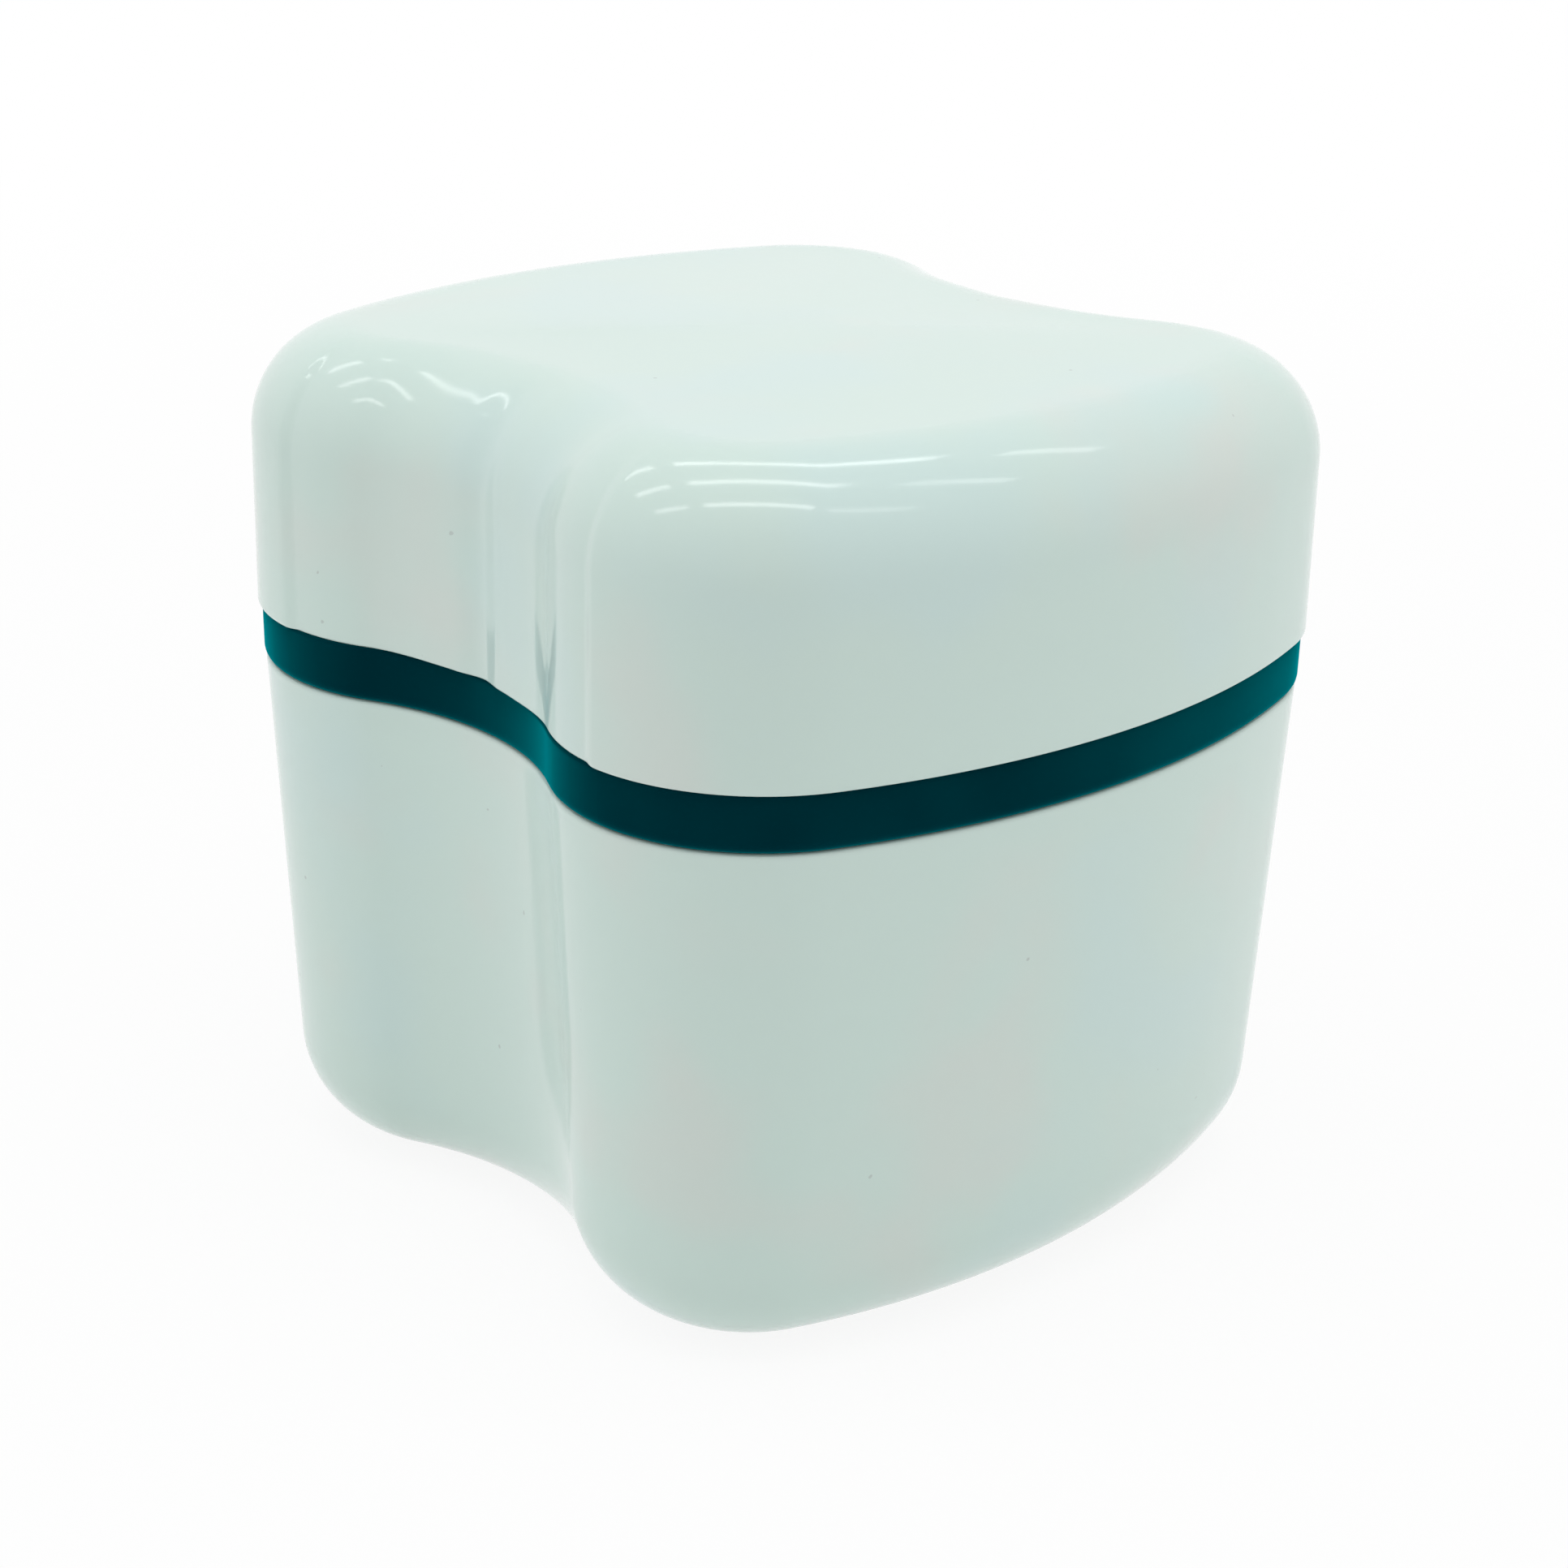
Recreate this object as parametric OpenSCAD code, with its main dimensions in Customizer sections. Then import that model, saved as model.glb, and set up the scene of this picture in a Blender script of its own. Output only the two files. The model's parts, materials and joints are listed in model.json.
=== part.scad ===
// Denture case: a white tub, a strainer basket that hangs by its rim in the tub, a folding bail on the
// basket, and a white lift-off lid. The rim of the basket shows as a dark band between tub and lid.
// The origin is the centre of the base, +Z is up, the faces look along Y and the waists along X.

/* [Plan outline] */
// Depth from the front face to the back face, at the lid's lower edge
case_depth = 90; // [86:0.5:98]
// Width across the lobes, at the lid's lower edge
case_width = 82.8; // [79:0.2:87]
// Width across the two waists, at the lid's lower edge
waist_width = 71.8; // [69:0.2:75]
// Radius of the gently curved front and back faces
face_radius = 84.4; // [76:0.2:110]
// Radius of the four lobes
lobe_radius = 18.7; // [17.6:0.1:20]

/* [Heights] */
// Height of the tub, from the table to its rim
tub_height = 51.3; // [46:0.1:64]
// Height of the basket's band that shows between tub and lid
band_height = 5.3; // [4.6:0.1:9]
// Height of the lid, from its lower edge to the top of its crown
lid_height = 27.1; // [26:0.1:40]

/* [Tub] */
// Wall thickness of the tub
tub_wall = 2; // [1.4:0.1:2.4]
// Thickness of the tub's floor
tub_floor = 2.2; // [1.4:0.1:3.4]
// Lean of the tub's outer wall, in degrees
tub_draft = 2.4; // [1:0.1:3]
// Radius of the rounded edge round the base
base_fillet = 10.6; // [8:0.1:12]
// Step from the lid's lower edge in to the tub's rim
tub_inset = 0.55; // [0.2:0.05:0.8]
// Depth of the shallow recess under the base
recess_depth = 0.6; // [0.3:0.1:1.2]
// Width of the ring that the tub stands on
foot_width = 4; // [2:0.5:8]

/* [Lid] */
// Wall thickness of the lid
lid_wall = 1.9; // [1.4:0.1:2.2]
// Lean of the lid's outer wall, in degrees
lid_draft = 0.6; // [0.2:0.1:2]
// Radius of the rounded edge round the top
top_fillet = 10; // [8:0.1:11]
// Rise of the top's crown in the middle
top_crown = 0.4; // [0.1:0.1:1]
// Depth of the panel in each waist side of the lid, along its two edges
panel_depth = 0.45; // [0.1:0.05:0.6]
// Swell of the panel towards its middle
panel_swell = 0.6; // [0.1:0.05:0.9]
// Distance over which the panel swells, from the end of the lobe towards the middle
swell_reach = 8.4; // [5:0.2:12]
// Depth of the crease down the panel's middle
crease_depth = 0.45; // [0.1:0.05:0.6]
// Width of the crease
crease_width = 6.8; // [4:0.2:10]

/* [Basket] */
// Wall thickness of the basket's net
net_wall = 1.5; // [1:0.1:1.8]
// Thickness of the collar that the lid slips over
collar_wall = 1.5; // [1:0.1:1.8]
// Height of the collar above the band
collar_height = 6.5; // [4:0.5:9]
// Chamfer round the outside of the collar's top
collar_chamfer = 0.5; // [0.2:0.1:0.8]
// Step from the lid's lower edge in to the band
band_inset = 0.4; // [0.1:0.05:0.8]
// Rounding of the band's lower edge
band_round = 0.9; // [0.3:0.1:1.4]
// Clearance round the collar in the lid, and round the skirt in the tub
slip_clearance = 0.3; // [0.2:0.05:0.6]
// Depth of the skirt that centres the basket in the tub
skirt_depth = 7; // [4:0.5:10]
// Step from the skirt in to the net
net_step = 0.6; // [0.2:0.1:1]
// Gap between the tub's floor and the basket's floor
sump_height = 9; // [6:0.5:14]
// Thickness of the basket's floor
net_floor = 1.8; // [1.2:0.1:3]
// Radius of the basket's rounded lower edge
net_fillet = 7; // [5:0.5:9]
// Width of a drain slot
slot_width = 3; // [2:0.2:3.8]
// Distance from one drain slot to the next, about
slot_pitch = 5.6; // [5:0.1:9]
// Plain height of the wall between the rim and the slots
slot_drop = 12; // [10:0.5:18]
// Plain height of the wall between the basket's floor and the slots
slot_foot = 8; // [7:0.5:12]
// Plain width round the floor's slots
floor_margin = 2; // [1:0.5:4]

/* [Bail] */
// Reach of the bail, from its pivot to the outside of its grip
bail_reach = 24; // [18:0.5:25]
// Thickness of the bail's arms
arm_thickness = 2.2; // [1.6:0.1:2.8]
// Step from the arm's faces out to the eye's, on both sides
eye_step = 0.2; // [0.1:0.1:0.5]
// Height of the bail's bar when it lies flat
bail_height = 3; // [2.2:0.1:3.6]
// Depth of the bail's grip, front to back
grip_depth = 4.4; // [3:0.1:6]
// Outside radius of the bail's two bends
bend_radius = 13; // [9:0.5:15]
// Radius of the eye at each end of the bail
eye_radius = 3.3; // [2.6:0.1:3.6]
// Radius of the bail's pins
pin_radius = 1.5; // [1:0.1:1.8]
// Radial clearance of a pin in its bore
pin_clearance = 0.05; // [0.02:0.01:0.1]
// Length of pin inside its bore
pin_reach = 2.6; // [2:0.1:2.8]
// Gap beyond the pin's end, in its bore
bore_gap = 0.3; // [0.2:0.1:0.5]
// Radius of the boss round each bore
boss_radius = 3.2; // [2.8:0.1:3.6]
// Height of the boss over the net's wall
boss_height = 0.8; // [0.4:0.1:1.6]
// Gap between the bail's eye and the boss
side_play = 0.3; // [0.2:0.05:0.6]
// Distance from the pivot to the lugs that the bail lies on
lug_distance = 12; // [9:0.5:14]
// Thickness of a lug
lug_thickness = 2.2; // [1.6:0.1:3.2]
// Height of a lug at the wall
lug_height = 6; // [3:0.5:8]

/* [Hidden] */
WHITE = [0.86, 0.92, 0.90];
TEAL = [0.00, 0.24, 0.27];
OVERCUT = 1;
$fn = 48;
BEND_FACES = 96;

// Heights at which the pieces meet
lid_z = tub_height + band_height;
shoulder_z = lid_z + lid_height - top_crown;
collar_z = lid_z + collar_height;
basket_z = tub_floor + sump_height;
pivot_z = tub_height + band_height / 2;

// Leans as inset per height
tub_lean = tan(tub_draft);
lid_lean = tan(lid_draft);

// Insets from the outline at the lid's lower edge, measured square to it
collar_inset = lid_wall + slip_clearance;
skirt_inset = tub_inset + tub_wall + slip_clearance;
net_inset = skirt_inset + net_step;
bowl_inset = net_inset + net_wall;

// The outline is made of face arcs, lobe arcs and waist arcs that meet tangent to each other
face_center = face_radius - case_depth / 2;
lobe_x = case_width / 2 - lobe_radius;
lobe_y = sqrt(pow(face_radius - lobe_radius, 2) - lobe_x * lobe_x) - face_center;
lobe_start = asin(lobe_x / (face_radius - lobe_radius));
waist_gap = waist_width / 2 - lobe_x;
waist_radius = (waist_gap * waist_gap + lobe_y * lobe_y - lobe_radius * lobe_radius)
    / (2 * (lobe_radius - waist_gap));
waist_center = waist_width / 2 + waist_radius;
waist_turn = atan(lobe_y / (waist_center - lobe_x));

// Steps along the arcs of a quarter outline, and round an edge
FACE_STEPS = 5;
LOBE_STEPS = 8;
FLANK_STEPS = 3;
WAIST_STEPS = 5;
FILLET_STEPS = 7;
BAND_STEPS = 3;
// Turn of the lobe over which the lid's panel steps in, in degrees
PANEL_RISER = 3;
// Power by which the lid's panel fades out over the rounded top edge
PANEL_FADE = 3;
// Rings of the lid's crowned top, as shares of its rim
CROWN_SHARES = [0.75, 0.5, 0.25];
// Flat width between the rounded edges of the basket's wall and the plate of its floor
PLATE_MARGIN = 1;

// A point of the outline is [x, y, normal x, normal y]
function face_point(turn) = [
    face_radius * sin(turn),
    face_center - face_radius * cos(turn),
    sin(turn),
    -cos(turn)
];
function lobe_point(turn) = [
    lobe_x + lobe_radius * sin(turn),
    -lobe_y - lobe_radius * cos(turn),
    sin(turn),
    -cos(turn)
];
function waist_point(turn) = [
    waist_center - waist_radius * cos(turn),
    -waist_radius * sin(turn),
    cos(turn),
    sin(turn)
];
function flip_x(p) = [-p[0], p[1], -p[2], p[3]];
function flip_y(p) = [p[0], -p[1], p[2], -p[3]];
function reverse(list) = [for (i = [len(list) - 1:-1:0]) list[i]];

// A quarter of the outline, from the middle of the front face to the middle of the right waist
quarter = [
    for (i = [0:FACE_STEPS - 1]) face_point(lobe_start * i / FACE_STEPS),
    for (i = [0:LOBE_STEPS - 1]) lobe_point(lobe_start + (90 - lobe_start) * i / LOBE_STEPS),
    lobe_point(90),
    lobe_point(90 + PANEL_RISER),
    for (i = [1:FLANK_STEPS - 1]) lobe_point(90 + waist_turn * i / FLANK_STEPS),
    for (i = [0:WAIST_STEPS]) waist_point(waist_turn * (1 - i / WAIST_STEPS))
];
q_last = len(quarter) - 1;
outline = [
    for (i = [0:q_last]) quarter[i],
    for (i = [q_last - 1:-1:0]) flip_y(quarter[i]),
    for (i = [1:q_last]) flip_x(flip_y(quarter[i])),
    for (i = [q_last - 1:-1:1]) flip_x(quarter[i])
];

// Inset of the lid's waist panel at an outline point: it steps in at the lobes' crests, swells towards
// the middle and has a crease there
function ease(t) = let (c = min(max(t, 0), 1)) c * c * (3 - 2 * c);
flank_y = waist_radius * sin(waist_turn);
function panel_inset(p) =
    let (
        y = abs(p[1]),
        on_side = abs(p[0]) > lobe_x && y < lobe_y,
        swell = panel_swell * ease((flank_y - y) / swell_reach),
        crease = crease_depth * (1 - ease(2 * y / crease_width))
    )
    on_side ? panel_depth - swell + crease : 0;

// Distance of a waist side's wall from the middle, at a distance y from the waist's own middle
function side_x(y, inset) =
    y < (waist_radius + inset) * sin(waist_turn)
        ? waist_center - sqrt(pow(waist_radius + inset, 2) - y * y)
        : lobe_x + sqrt(pow(lobe_radius - inset, 2) - pow(lobe_y - y, 2));

// A ring of points at height z, inset from the outline. A share below 1 draws it in towards its centre.
function ring(z, inset, share = 1, panel = 0) = [
    for (p = outline)
        let (step = inset + panel * panel_inset(p))
        [(p[0] - p[2] * step) * share, (p[1] - p[3] * step) * share, z]
];
function rings(levels) = [for (l = levels) ring(l[0], l[1])];

// Levels [height, inset] of a quarter-round edge, from the wall to the flat at height z. The flat lies above
// the wall (up = 1) or below it (up = -1), and the wall leans in from its own inset at height from_z.
function edge_levels(z, radius, up, from_z, inset, lean) = [
    for (i = [0:FILLET_STEPS])
        let (turn = 90 * i / FILLET_STEPS, height = z - up * radius * (1 - sin(turn)))
        [height, inset + lean * abs(height - from_z) + radius * (1 - cos(turn))]
];

// A closed skin through rings of points. It has a flat cap on the first and the last ring, or else goes
// round from the last ring to the first.
module skin(rings, capped = true) {
    n = len(rings[0]);
    count = len(rings);
    sides = [
        for (k = [0:count - (capped ? 2 : 1)], i = [0:n - 1])
            let (j = (i + 1) % n, m = (k + 1) % count)
            each [
                [k * n + i, m * n + i, m * n + j],
                [k * n + i, m * n + j, k * n + j]
            ]
    ];
    lower = [for (i = [0:n - 1]) i];
    upper = [for (i = [n - 1:-1:0]) (count - 1) * n + i];
    faces = capped ? concat([lower], sides, [upper]) : sides;
    polyhedron(points = [for (r = rings) each r], faces = faces, convexity = 10);
}

// Tub: up the outside, over the rim and down the inside, with a recess inside the ring that it stands on
module tub() {
    wall_inset = tub_inset + tub_wall;
    foot_inset = tub_inset + tub_lean * tub_height + base_fillet;
    foot_share = 1 - foot_width / (case_depth / 2 - foot_inset);
    outside = reverse(edge_levels(0, base_fillet, -1, tub_height, tub_inset, tub_lean));
    inside = edge_levels(tub_floor, base_fillet - tub_wall, -1, tub_height, wall_inset, tub_lean);
    color(WHITE)
    skin(concat(
        [ring(recess_depth, foot_inset + recess_depth, foot_share)],
        [ring(0, foot_inset, foot_share)],
        rings(outside),
        rings([[tub_height, tub_inset], [tub_height, wall_inset]]),
        rings(inside)
    ));
}

// Lid: down the inside, round the lower edge and up the outside to the crowned top
module lid() {
    ceiling_z = shoulder_z - lid_wall;
    inside = reverse(edge_levels(ceiling_z, top_fillet - lid_wall, 1, lid_z, lid_wall, lid_lean));
    outside = edge_levels(shoulder_z, top_fillet, 1, lid_z, 0, lid_lean);
    top_inset = outside[FILLET_STEPS][1];
    crown_base = 1 - pow(min(CROWN_SHARES), 2);
    color(WHITE)
    skin(concat(
        rings(inside),
        rings([[lid_z, lid_wall]]),
        [ring(lid_z, 0, 1, 1)],
        [for (i = [0:FILLET_STEPS])
            ring(outside[i][0], outside[i][1], 1, 1 - pow(i / FILLET_STEPS, PANEL_FADE))],
        [for (share = CROWN_SHARES)
            ring(shoulder_z + top_crown * (1 - share * share) / crown_base, top_inset, share)]
    ));
}

// Plan of one drain slot, long in Y
module slot_shape(length) {
    straight = length - slot_width;
    square([slot_width, straight], center = true);
    for (side = [-1, 1])
        translate([0, side * straight / 2])
        circle(d = slot_width);
}

// Slot centres along a quarter of the outline: half a face arc, a lobe arc and half a waist arc, each with
// a whole number of slots at about their pitch
function spread(length) = let (n = max(1, round(length / slot_pitch))) [for (i = [0:n - 1]) (i + 0.5) / n];
lobe_turn = 90 + waist_turn - lobe_start;
face_length = (face_radius - bowl_inset) * lobe_start * PI / 180;
lobe_length = (lobe_radius - bowl_inset) * lobe_turn * PI / 180;
waist_length = (waist_radius + bowl_inset) * waist_turn * PI / 180;
slot_quarter = [
    for (t = spread(face_length)) face_point(lobe_start * t),
    for (t = spread(lobe_length)) lobe_point(lobe_start + lobe_turn * t),
    for (t = spread(waist_length)) waist_point(waist_turn * (1 - t))
];

// Drain slots all round the net's wall
module wall_slots() {
    top = tub_height - slot_drop;
    bottom = basket_z + slot_foot;
    depth = net_wall + tub_lean * (tub_height - bottom) + OVERCUT;
    for (p = slot_quarter, q = [p, flip_x(p), flip_y(p), flip_x(flip_y(p))])
        translate([q[0] - q[2] * bowl_inset, q[1] - q[3] * bowl_inset, (top + bottom) / 2])
        rotate([0, 0, atan2(q[3], q[2]) + 90])
        rotate([90, 0, 0])
        linear_extrude(2 * depth, center = true)
        slot_shape(top - bottom);
}

// The basket's floor: a plate with columns of drain slots front and back of a plain strip
module net_plate() {
    edge = plate_inset + floor_margin;
    columns = floor((waist_width / 2 - edge) / slot_pitch);
    translate([0, 0, basket_z])
    linear_extrude(net_floor)
    difference() {
        polygon([for (p = ring(0, plate_inset)) [p[0], p[1]]]);
        for (i = [-columns:columns], side = [-1, 1])
            let (
                x = i * slot_pitch,
                far_end = sqrt(pow(face_radius - edge, 2) - x * x) - face_center,
                near_end = slot_pitch / 2
            )
            translate([x, side * (near_end + far_end) / 2])
            slot_shape(far_end - near_end);
    }
}

// The lug on the wall that carries one arm of the bail when it is folded down
module lug(end) {
    tip = boss_face - side_play - eye_step - arm_thickness;
    root = side_x(lug_distance, net_inset + net_wall / 2);
    translate([0, end * lug_distance + lug_thickness / 2, pivot_z - bail_height / 2])
    rotate([90, 0, 0])
    linear_extrude(lug_thickness)
    polygon([[tip, 0], [root, 0], [root, -lug_height]]);
}

// Inset of the floor's plate, just inside the rounded edge of the net
plate_inset = PLATE_MARGIN + net_fillet + max(
    net_inset + tub_lean * (tub_height - basket_z),
    bowl_inset - net_wall + tub_lean * (tub_height - basket_z - net_floor)
);

// Face of the bosses, as a distance from the middle
boss_face = waist_width / 2 - bowl_inset - boss_height;
bore_radius = pin_radius + pin_clearance;

// Basket: up the outside of net and skirt, round the band, over the collar and down the inside
module strainer_basket() {
    skirt_z = tub_height - skirt_depth;
    outside = reverse(edge_levels(basket_z, net_fillet, -1, tub_height, net_inset, tub_lean));
    inside = edge_levels(basket_z + net_floor, net_fillet - net_wall, -1, tub_height, bowl_inset, tub_lean);
    color(TEAL)
    difference() {
        union() {
            skin(capped = false, rings = concat(
                rings([[basket_z, plate_inset]]),
                rings(outside),
                rings([
                    [skirt_z - net_step, net_inset + tub_lean * (skirt_depth + net_step)],
                    [skirt_z, skirt_inset + tub_lean * skirt_depth],
                    [tub_height, skirt_inset]
                ]),
                [for (i = [0:BAND_STEPS])
                    let (turn = 90 * i / BAND_STEPS)
                    ring(
                        tub_height + band_round * (1 - cos(turn)),
                        band_inset + band_round * (1 - sin(turn))
                    )],
                rings([
                    [lid_z, band_inset],
                    [lid_z, collar_inset],
                    [collar_z - collar_chamfer, collar_inset],
                    [collar_z, collar_inset + collar_chamfer],
                    [collar_z, collar_inset + collar_wall],
                    [lid_z, collar_inset + collar_wall],
                    [tub_height, bowl_inset]
                ]),
                rings(inside),
                rings([[basket_z + net_floor, plate_inset]])
            ));
            net_plate();
            for (side = [0, 180])
                rotate(side) {
                    translate([boss_face, 0, pivot_z])
                    rotate([0, 90, 0])
                    cylinder(h = boss_height + net_wall, r = boss_radius);
                    for (end = [-1, 1])
                        lug(end);
                }
        }
        for (side = [0, 180])
            rotate(side)
            translate([boss_face - OVERCUT, 0, pivot_z])
            rotate([0, 90, 0])
            cylinder(h = OVERCUT + pin_reach + bore_gap, r = bore_radius);
        wall_slots();
    }
}

// Plan of the bail's outside or inside: a slab from the pivot to its reach, with two round bends
module bail_plan(half_width, reach, radius) {
    translate([-half_width, radius - reach])
    square([2 * half_width, reach - radius]);
    translate([radius - half_width, -reach])
    square([2 * (half_width - radius), reach]);
    for (side = [-1, 1])
        intersection() {
            translate([side * (half_width - radius), radius - reach])
            circle(r = radius, $fn = BEND_FACES);
            translate([-half_width, -reach])
            square([2 * half_width, reach]);
        }
}

// Bail: a flat U that lies folded to the front, with an eye and a pin at each end
module basket_handle() {
    eye_face = boss_face - side_play;
    arm_face = eye_face - eye_step;
    eye_thickness = arm_thickness + 2 * eye_step;
    color(TEAL)
    union() {
        translate([0, 0, pivot_z - bail_height / 2])
        linear_extrude(bail_height)
        difference() {
            bail_plan(arm_face, bail_reach, bend_radius);
            translate([0, OVERCUT])
            bail_plan(arm_face - arm_thickness, bail_reach + OVERCUT - grip_depth, bend_radius - arm_thickness);
        }
        for (side = [0, 180])
            rotate(side)
            translate([eye_face - eye_thickness, 0, pivot_z])
            rotate([0, 90, 0]) {
                cylinder(h = eye_thickness, r = eye_radius);
                cylinder(h = eye_thickness + side_play + pin_reach, r = pin_radius);
            }
    }
}

tub();
strainer_basket();
basket_handle();
lid();
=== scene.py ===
"""Denture case: a white tub and lift-off lid with a teal strainer basket between them.

The faces look along Y, the waists along X, and the case stands on z = 0. The tub, the lid and the basket
share one plan outline of round arcs. Each is a profile drawn in the plane x = 0, which is swept round a
quarter of that outline and mirrored twice.
"""

import json
import math

import bmesh
import bpy
from bpy.props import FloatProperty, FloatVectorProperty, IntProperty, PointerProperty
from mathutils import Matrix, Vector


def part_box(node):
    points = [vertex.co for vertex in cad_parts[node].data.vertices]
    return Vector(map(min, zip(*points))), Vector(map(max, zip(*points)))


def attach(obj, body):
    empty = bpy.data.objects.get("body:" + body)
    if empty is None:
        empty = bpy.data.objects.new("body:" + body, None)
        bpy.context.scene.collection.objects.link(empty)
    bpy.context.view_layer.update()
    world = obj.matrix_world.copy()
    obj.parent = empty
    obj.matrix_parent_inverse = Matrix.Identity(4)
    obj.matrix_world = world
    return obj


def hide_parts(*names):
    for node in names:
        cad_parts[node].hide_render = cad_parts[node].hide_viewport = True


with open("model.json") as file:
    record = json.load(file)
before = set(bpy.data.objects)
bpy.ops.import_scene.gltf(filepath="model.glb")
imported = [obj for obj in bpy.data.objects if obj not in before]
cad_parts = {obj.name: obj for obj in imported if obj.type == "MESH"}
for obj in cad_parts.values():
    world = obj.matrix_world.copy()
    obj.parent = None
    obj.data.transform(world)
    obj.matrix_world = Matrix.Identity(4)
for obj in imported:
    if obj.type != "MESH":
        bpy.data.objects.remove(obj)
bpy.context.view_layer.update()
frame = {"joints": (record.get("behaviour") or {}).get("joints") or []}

bl_info = {
    "name": "Denture Case",
    "version": (1, 0, 0),
    "blender": (4, 5, 0),
    "location": "View3D > Sidebar > Denture Case",
    "description": "Builds a denture case with its strainer basket, bail and lid, and a studio for it",
    "category": "Add Mesh",
}

MM = 0.001
DEGREE = math.radians(1)
_, TUB_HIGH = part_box("tub")
BASKET_LOW, BASKET_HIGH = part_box("strainer_basket")
BAIL_LOW, BAIL_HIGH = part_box("basket_handle")
LID_LOW, LID_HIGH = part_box("lid")
SWING = next(joint for joint in frame["joints"] if joint["name"] == "handle_swing")
# Height of the bail's pins over the table
PIVOT_Z = SWING["pos_m"][2]

# Points closer than this are one point
TOUCH = 0.001 * MM
# An edge that turns more than this is rounded
SHARP_TURN = 50 * DEGREE
# An edge of a finished piece that turns more than this is shaded as sharp
SMOOTH_TURN = 40 * DEGREE
# Sides of a round bar and of the floor
BAR_SIDES = 64
# Sides of the two round ends of a floor slot, together
SLOT_SIDES = 24
# Steps along each half of a rib between two drain slots of the wall
RIB_STEPS = 2
# Steps round the edges of the drain slots and round the basket's crisp corners
CRISP_STEPS = 2
# A straight takes a point near a rounding if it is longer than this many times that point's distance
HOLD_ROOM = 3
# Rings that close a flat cap, and size of its last one, as a share of the first
CAP_RINGS = 5
CAP_LAST = 0.01
# Rings that close the lid's crown, and size of its last one
CROWN_RINGS = 12
CROWN_LAST = 0.02
# Power by which the lid's side panel fades over the round edge: higher keeps it longer
PANEL_FADE = 3

# Refraction of both plastics
PLASTIC_IOR = 1.49
# Patterns: the noise texture's scale and detail, a shift in metres, and the span of its values that shows
PATTERNS = {
    "warm clouds": {"scale": 45, "detail": 2, "shift": (-0.045, 0, -0.047), "span": (0.5, 0.75)},
    "cool clouds": {"scale": 38, "detail": 2, "shift": (0.3, 0.1, 0.2), "span": (0.52, 0.72)},
    "specks": {"scale": 900, "detail": 0, "shift": None, "span": (0.89, 0.91)},
    "smudges": {"scale": 90, "detail": 3, "shift": None, "span": (0.3, 0.7)},
    "teal clouds": {"scale": 60, "detail": 2, "shift": None, "span": (0.3, 0.7)},
    "teal smudges": {"scale": 130, "detail": 3, "shift": None, "span": (0.3, 0.7)},
}
# Reliefs: the noise texture's scale and detail, and the depth in metres
WHITE_RELIEF = ((55, 1, 0.025 * MM), (700, 2, 0.002 * MM))
TEAL_RELIEF = ((900, 2, 0.003 * MM),)
# How far the smudges change the roughness, as shares of it
WHITE_SMUDGE = (0.8, 1.3)
TEAL_SMUDGE = (0.85, 1.15)

# Colour of the background
WHITE = (1, 1, 1, 1)
# White of the floor, the share of it that takes the case's shadow, and how far that goes, in metres
FLOOR_WHITE = 0.95
SHADOW_SHARE = 0.1
SHADOW_REACH = 0.6
# Soft lamps: turn and height in degrees, distance and size in metres, level as add_soft_lamp says
SOFT_LAMPS = (
    {"name": "overhead", "azimuth": -30, "elevation": 80, "distance": 1.2, "size": 1.2, "level": 0.35},
    {"name": "left", "azimuth": -125, "elevation": 15, "distance": 1.0, "size": 0.8, "level": 0.15},
    {"name": "right", "azimuth": 40, "elevation": 15, "distance": 1.0, "size": 0.8, "level": 0.15},
)
# Tube lamps of a row: place along the row and length in metres, and brightness, where 1 is white
TUBES = (
    {"place": -1.16, "length": 0.65, "glow": 4.0},
    {"place": 0.0, "length": 1.2, "glow": 5.5},
    {"place": 1.05, "length": 0.5, "glow": 2.5},
)


def length(name, default, description):
    """A size in metres that a user may change."""
    return FloatProperty(name=name, description=description, default=default, min=0.0, unit="LENGTH",
                         precision=5)


def angle(name, degrees, description):
    """An angle that a user may change."""
    return FloatProperty(name=name, description=description, default=degrees * DEGREE, subtype="ANGLE",
                         unit="ROTATION")


def colour(name, default, description):
    """A linear colour that a user may change."""
    return FloatVectorProperty(name=name, description=description, default=default, size=3, min=0.0, max=1.0,
                               subtype="COLOR")


def amount(name, default, description):
    """A plain number that a user may change."""
    return FloatProperty(name=name, description=description, default=default, min=0.0)


def steps(name, default, description):
    """A number of steps along an arc."""
    return IntProperty(name=name, description=description, default=default, min=1)


class OutlineSizes(bpy.types.PropertyGroup):
    """Plan outline of the case at the lid's lower edge."""

    depth: length("Depth", LID_HIGH.y - LID_LOW.y, "From the front face to the back face")
    width: length("Width", LID_HIGH.x - LID_LOW.x, "Across the lobes")
    waist: length("Waist", 71.8 * MM, "Across the two waists")
    face_radius: length("Face Radius", 84.4 * MM, "Radius of the gently curved front and back faces")
    lobe_radius: length("Lobe Radius", 18.7 * MM, "Radius of the four lobes")


class TubSizes(bpy.types.PropertyGroup):
    """Sizes of the white tub."""

    height: length("Height", TUB_HIGH.z, "From the table to the rim")
    inset: length("Inset", 0.55 * MM, "From the lid's lower edge in to the rim")
    wall: length("Wall", 2.0 * MM, "Wall thickness")
    floor: length("Floor", 2.2 * MM, "Thickness of the floor")
    lean: angle("Lean", 2.4, "Lean of the walls")
    base_radius: length("Base Radius", 10.6 * MM, "Radius of the rounded edge round the base")
    foot: length("Foot", 4.0 * MM, "Width of the ring that the tub stands on")
    recess: length("Recess", 0.6 * MM, "Depth of the recess under the base")
    rim_radius: length("Rim Radius", 0.5 * MM, "Rounding of the rim")


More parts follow.
